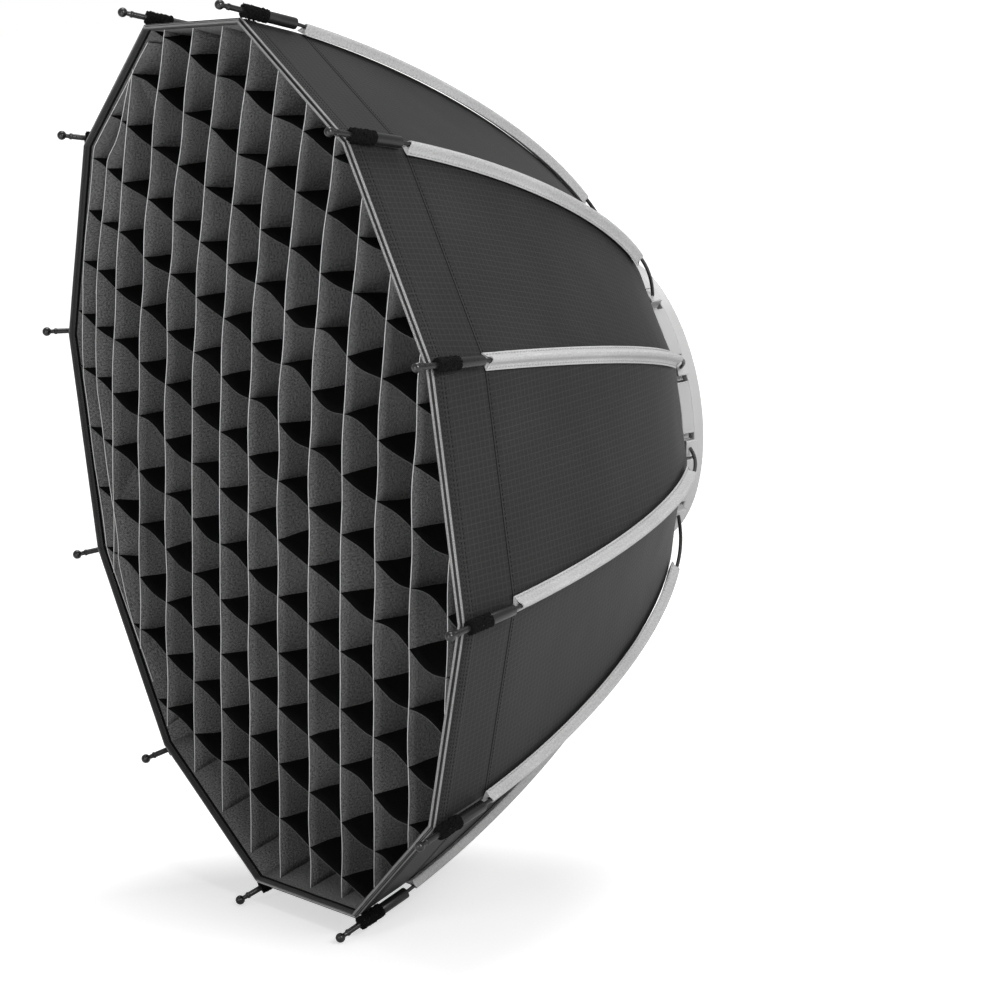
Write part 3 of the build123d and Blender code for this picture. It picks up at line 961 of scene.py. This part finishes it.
def band_on(corner, forward, width, thick):
    """Folded hem round a twelve-sided sheet."""
    inner = corner - width / cos(half_step)
    middle = (inner + corner) / 2
    outline = [(inner, 0.5), (inner, 1.0), (middle, 1.15), (corner - 0.5 * MM, 1.0), (corner, 0.5)]
    outline += [(radius, -side) for radius, side in reversed(outline[1:])] + outline[:1]
    return gores([(radius, forward + side * thick, k * width / 4)
                  for k, (radius, side) in enumerate(outline)])


def strap_shape(angle, inner, outer, forward, width, thick):
    """Flat strap along a rib's radius."""
    steps = 10
    rows = []
    for side, level in ((-0.5, 0.5), (0.5, 0.5), (0.5, -0.5), (-0.5, -0.5), (-0.5, 0.5)):
        walked = [(outer - inner) * k / steps for k in range(steps + 1)]
        rows.append([(in_frame(inner + along, forward + level * thick, angle, side * width),
                      (along, side * width + level * thick)) for along in walked])
    return lattice(rows)


def hung_sheet(name, corner, forward, slack, seed, *hem):
    """A sheet inside the box, its hem from the values of band_on, and the area of the sheet."""
    shape = round_sheet(corner, forward, slack=slack, seed=seed)
    given = ("diffuser_fabric", hung_weights, name, "diffuser_fabric")
    sheet = folding(name, shape, *given, thick=0.3 * MM)
    return sheet, folding(name + "_hem", band_on(*hem), *given), cloth_area(shape)


def make_diffusers():
    corner = corner_radius(diffuser_forward, cover_drop + 1.6 * MM)
    front, rim, area = hung_sheet("front_diffuser", corner - 1 * MM, diffuser_forward, 1.0 * MM, 0.0,
                                  corner - 0.4 * MM, diffuser_forward, 9 * MM, 0.28 * MM)

    reach = corner_radius(baffle_forward, cover_drop + 1.6 * MM)
    corner = reach * baffle_share
    inner, rim, area = hung_sheet("inner_baffle", corner, baffle_forward, 1.6 * MM, 8.0,
                                  corner + 0.4 * MM, baffle_forward, 10 * MM, 0.35 * MM)
    straps = joined([strap_shape(a, corner - 11 * MM, reach - 2.2 * MM, baffle_forward, 10 * MM, 1.1 * MM)
                     for a in rib_angles])
    straps = folding("inner_baffle_straps", straps, "strap_elastic", hung_weights, "inner_baffle",
                     "diffuser_fabric")


# ---------------- ribs
sleeve_start, sleeve_end = 53 * MM, bow_length - 6 * MM
sleeve_slant = 0.3        # the tip end is cut back this much from the cover side to the outside
seam_side, seam_level = 4.6 * MM, -3.82 * MM

# outline of the sleeve and of its bore in millimetres: (across the rib, away from the box)
half_outline = [(0.0, 2.4), (1.15, 2.1), (1.95, 1.2), (2.35, -0.2), (2.6, -1.8), (3.0, -3.0), (3.7, -3.65),
                (4.8, -3.85), (5.7, -3.95), (5.95, -4.3), (5.7, -4.7), (3.6, -4.8), (1.8, -4.8)]
sleeve_outline = half_outline + [(0.0, -4.8)] + [(-x, y) for x, y in reversed(half_outline[1:])]
sleeve_hole = [(1.75 * sin(2 * pi * k / len(sleeve_outline)),
                -0.5 + 2.1 * cos(2 * pi * k / len(sleeve_outline)))
               for k in range(len(sleeve_outline))]


def rib_point(distance, x, y, angle):
    """A point beside the rod: x across the rib, y away from the box."""
    point, direction = on_rib(distance, 0.0)
    placed = point - inward(direction) * y
    return in_frame(placed.x, placed.y, angle, x)


def sleeve_shape(angle, seed):
    """Sewn sleeve round a rod, with a short bore at each end."""
    count = 66
    rings = []
    for n in range(count + 1):
        distance = sleeve_start + (sleeve_end - sleeve_start) * n / count
        near_end = 1 - smooth_share(sleeve_end - distance, 0, 45 * MM)
        ring = []
        for k, (x, y) in enumerate(sleeve_outline):
            soft = 0.16 + 0.5 * near_end
            wave = soft * noisy((x * 0.35, y * 0.35, distance * 260), 1.0, seed)
            scale = 1 + 0.10 * wave * (1 if abs(x) < 5 else 0.35)
            lift = 0.35 * wave if -4.5 < y < 2 and abs(x) > 2 else 0.0
            ring.append((x * scale * MM, (y + lift) * MM))
        rings.append((distance, ring))
    hole = [(x * MM, y * MM) for x, y in sleeve_hole]
    first, last = rings[0][0], rings[-1][0]
    inside = 12 * MM
    rings = [(first + inside, hole), (first, hole)] + rings + [(last, hole), (last - inside, hole)]
    rows = []
    for distance, ring in rings:
        row, walked = [], 0.0
        at_tip = smooth_share(distance, last - 30 * MM, last)
        for k in range(len(ring) + 1):
            x, y = ring[k % len(ring)]
            if k:
                walked += hypot(x - ring[k - 1][0], y - ring[k - 1][1])
            cut = at_tip * sleeve_slant * (y + 4.8 * MM)
            row.append((rib_point(distance - cut, x, y, angle), (walked, distance)))
        rows.append(row)
    return lattice(rows, closed=True)


def sleeve_stitches(angle):
    """The two seams that hold a sleeve to the cover."""
    parts = []
    count = 60
    for side in (-1, 1):
        path, normals = [], []
        for n in range(count + 1):
            distance = sleeve_start + 1 * MM + (sleeve_end - sleeve_start - 2 * MM) * n / count
            path.append(rib_point(distance, side * seam_side, seam_level, angle))
            normals.append((rib_point(distance, side * seam_side, 0, angle) - path[-1]).normalized())
        parts.append(stitches(path, normals, radius=0.2 * MM))
    return joined(parts)


def wrap_shape(start, direction, seed):
    """Strap of hook-and-loop tape wound round the ferrule."""
    x, y, z = axes_along(direction)
    length, sides, rings = 19 * MM, 64, 30
    rows = []
    for layer, at in enumerate([0.0] + [n / rings for n in range(rings + 1)] + [1.0]):
        row = []
        for k in range(sides + 1):
            turn = 2 * pi * (k % sides) / sides
            step = 0.45 * MM * ((k % sides) / sides)
            place = (cos(turn) * 3, sin(turn) * 3, at * 11)
            rough = 0.8 * MM * noisy(place, 1.0, seed) + 0.75 * MM * noisy(place, 5.5, seed)
            edge = 0.35 * MM * noisy((turn, at, 1), 2.2, seed) if at in (0.0, 1.0) else 0.0
            radius = 4.45 * MM + step + rough
            if layer == 0:
                radius = 4.05 * MM
            if layer == rings + 2:
                radius = 2.1 * MM
            row.append((start + z * (at * length + edge) + (x * cos(turn) + y * sin(turn)) * radius,
                        (turn * 5 * MM, at * length)))
        rows.append(row)
    return lattice(rows, closed=True)


def rib_piece(name, shape, look, body, node, sharp=None):
    """A piece that rides stiffly on a rib, with the edges over this many degrees kept crisp."""
    piece = new_piece(name, *shape, materials=[looks[look]])
    if sharp:
        piece.data.set_sharp_from_angle(angle=radians(sharp))
    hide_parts(node)
    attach(piece, body)


def ball_profile():
    """Neck of the tip with its collar, and the ball on its end."""
    ball, neck = 3.4 * MM, 1.6 * MM
    profile = near((0, 0), (2, 33), (2, 51.2), (2.35, 51.6), (2.35, 53), (1.75, 53.5), (1.6, 55.2))
    start = asin(neck / ball)
    for n in range(13):
        turn = start + (pi - start) * n / 12
        profile.append((max(ball * sin(turn), 0.0), ball_reach - ball * cos(turn)))
    return profile


ferrule_profile = near((0, 0), (1.4, 6), (1.4, 0.3), (1.7, 0), (3.3, 0), (3.75, 0.25), (4, 0.8), (4, 39.2),
                       (3.75, 39.75), (3.3, 40), (2.3, 40), (2.05, 39.6), (2.05, 36))
tie_start = 22.5 * MM


def make_rib(n):
    """The sleeve, its seams, the ferrule, the ball and the tie of a rib."""
    angle = rib_angles[n]
    body = rib_bodies[n]
    start = in_frame(bow_end.x, bow_end.y, angle)
    direction = (in_frame(*(bow_end + lean(tip_lean)), angle) - start).normalized()
    ferrule = lathe(ferrule_profile, 40, start, direction)
    ball = lathe(ball_profile(), 36, start, direction)
    tie = wrap_shape(start + direction * tie_start, direction, 30.0 + n)
    sleeve = sleeve_shape(angle, 10.0 + n)
    for part, shape, look, node, slot_name, sharp in (
            ("sleeve_tape", sleeve, "sleeve_fabric", "sleeve", "sleeve_fabric", 50),
            ("sleeve_stitches", sleeve_stitches(angle), "sleeve_thread", "sleeve", "sleeve_fabric", None),
            ("ferrule", ferrule, "tip_black", "tip", "tip_black", 35),
            ("ball", ball, "ball_gloss", "tip", "tip_black", 35),
            ("tie", tie, "hook_loop", "tip", "tip_black", None)):
        rib_piece(f"{body}_{part}", shape, look, body, f"{body}_{node}", sharp)


# ---------------- make the pieces
cover, cover_flat, cover_area = make_cover()
make_hem() + make_seam()
make_grid()
make_diffusers()
for n in range(rib_count):
    make_rib(n)

# ---------------- floor, light and camera
floor_height = cad_box[0].z - 1 * MM
ambient = 0.22
camera_place = (2.757, -1.475, 0.373)
camera_azimuth, camera_elevation, camera_roll = (radians(turn) for turn in (63.8, 8.0, -6.98))
camera_lens, camera_shift = 156.7, 0.004


def camera_white(tree, strength):
    """White for what the camera sees and some for reflections, not for the light that falls on things."""
    path = add(tree, "LightPath")
    glossy = calc(tree, "MULTIPLY", path.outputs["Is Glossy Ray"], 0.3)
    seen = calc(tree, "MAXIMUM", path.outputs["Is Camera Ray"], glossy)
    seen = calc(tree, "MAXIMUM", seen, path.outputs["Is Transmission Ray"])
    return calc(tree, "MULTIPLY", seen, strength)


def make_floor():
    half = 30.0
    points = [Vector((half * x, half * y, floor_height)) for x, y in ((-1, -1), (1, -1), (1, 1), (-1, 1))]
    made, tree, shader = principled("pale_floor", Roughness=0.95, Specular_IOR_Level=0.1)
    place = add(tree, "TexCoord").outputs["Object"]
    tint(tree, shader, 0.7, speckle(tree, place, 6.0, 0.995, 1.005))
    glow = add(tree, "Emission", {"Color": (1, 1, 1, 1), "Strength": camera_white(tree, 0.56)})
    both = add(tree, "AddShader", {0: shader.outputs[0], 1: glow.outputs[0]})
    tree.links.new(both.outputs[0], tree.nodes["Material Output"].inputs[0])
    new_piece("floor", points, [[0, 1, 2, 3]], materials=[made], smooth=False)


def make_world():
    world = bpy.data.worlds.new("studio")
    bpy.context.scene.world = world
    world.use_nodes = True
    tree = world.node_tree
    dome = tree.nodes["Background"]
    dome.inputs["Color"].default_value = (1, 1, 1, 1)
    white = camera_white(tree, 1 - ambient)
    tree.links.new(calc(tree, "ADD", white, ambient), dome.inputs["Strength"])


def make_light(name, kind, power, turn):
    lamp = bpy.data.objects.new(name, bpy.data.lights.new(name, kind))
    lamp.data.energy = power
    lamp.rotation_euler = turn.to_euler()
    show(lamp)
    return lamp


def area_light(name, place, target, size, power, spread=180):
    aim = (Vector(target) - Vector(place)).to_track_quat("-Z", "Y")
    lamp = make_light(name, "AREA", power, aim)
    lamp.data.spread = radians(spread)
    lamp.data.shape = "RECTANGLE"
    lamp.data.size, lamp.data.size_y = size
    lamp.location = place
    lamp.visible_camera = False


def soft_sun(name, direction, strength, angle):
    lamp = make_light(name, "SUN", strength, Vector(direction).to_track_quat("Z", "Y"))
    lamp.data.angle = radians(angle)


def make_camera():
    data = bpy.data.cameras.new("camera")
    data.sensor_width = 36
    data.lens = camera_lens
    data.shift_y = camera_shift
    data.clip_end = 200
    camera = bpy.data.objects.new("camera", data)
    level = cos(camera_elevation)
    forward = Vector((-sin(camera_azimuth) * level, cos(camera_azimuth) * level,
                      -sin(camera_elevation)))
    turn = forward.to_track_quat("-Z", "Y").to_matrix() @ Matrix.Rotation(camera_roll, 3, "Z")
    camera.matrix_world = Matrix.Translation(camera_place) @ turn.to_4x4()
    show(camera)
    bpy.context.scene.camera = camera


make_floor()
make_world()
area_light("key", (0.78, -1.6, 0.3), (0.1, -0.3, 0.08), (0.5, 0.5), 1.15, 80)
area_light("low", (0.42, -0.95, -0.29), (0.08, -0.3, 0.12), (0.8, 0.5), 0.95, 110)
area_light("side", (2.4, -0.1, 1.0), (0.25, -0.25, 0), (0.8, 0.6), 45)
soft_sun("top", (-0.1, 0.25, 0.95), 2.3, 35)
make_camera()
bpy.context.scene.view_settings.view_transform = "Standard"
